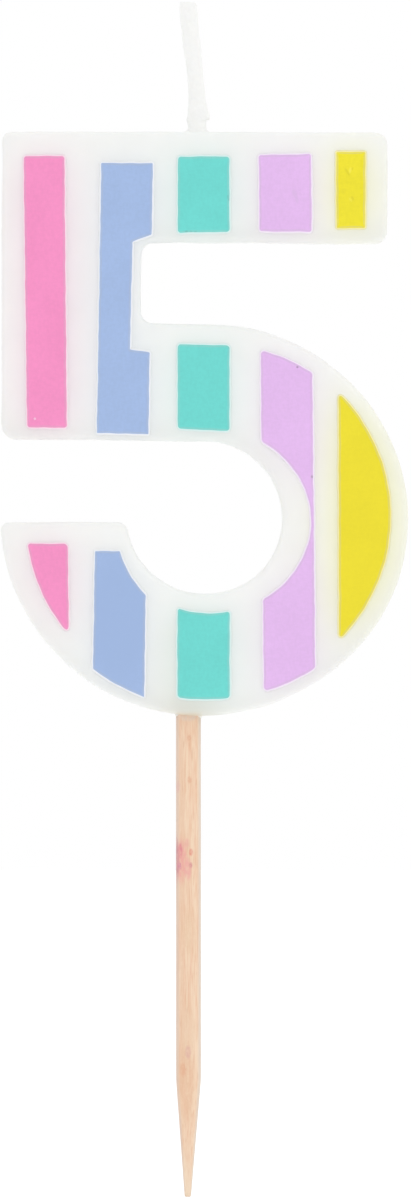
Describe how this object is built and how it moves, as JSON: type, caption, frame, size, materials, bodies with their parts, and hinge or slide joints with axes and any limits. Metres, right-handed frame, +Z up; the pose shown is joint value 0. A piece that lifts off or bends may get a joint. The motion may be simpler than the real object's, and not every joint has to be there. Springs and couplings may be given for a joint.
{
  "type": "number candle",
  "caption": "Flat wax number candle, digit five, with printed pastel stripes, a cotton wick and a pointed wooden pick",
  "frame": {"origin": "on the wooden pick's axis, level with the lowest edge of the wax digit, where the candle stands on a cake", "axes": "+Z up along the pick towards the wick, +X to the right as the digit is read, -Y towards the reader"},
  "size_m": [0.0505, 0.0062, 0.1484],
  "materials": {
    "wax": "satin, slightly translucent white wax",
    "wick_cotton": "braided cotton dipped in wax",
    "wood": "raw turned light wood",
    "print_pink": "satin printed layer on wax",
    "print_blue": "satin printed layer on wax",
    "print_teal": "satin printed layer on wax",
    "print_lilac": "satin printed layer on wax",
    "print_yellow": "satin printed layer on wax"
  },
  "bodies": {
    "root": {"wax_digit": "wax", "wick": "wick_cotton", "wooden_pick": "wood", "stripe_pink_stem": "print_pink", "stripe_blue_stem": "print_blue", "stripe_teal_bar": "print_teal", "stripe_lilac_bar": "print_lilac", "stripe_yellow_bar": "print_yellow", "stripe_teal_waist": "print_teal", "stripe_lilac_bowl": "print_lilac", "stripe_yellow_bowl": "print_yellow", "stripe_pink_tail": "print_pink", "stripe_blue_tail": "print_blue", "stripe_teal_base": "print_teal"}
  },
  "joints": []
}
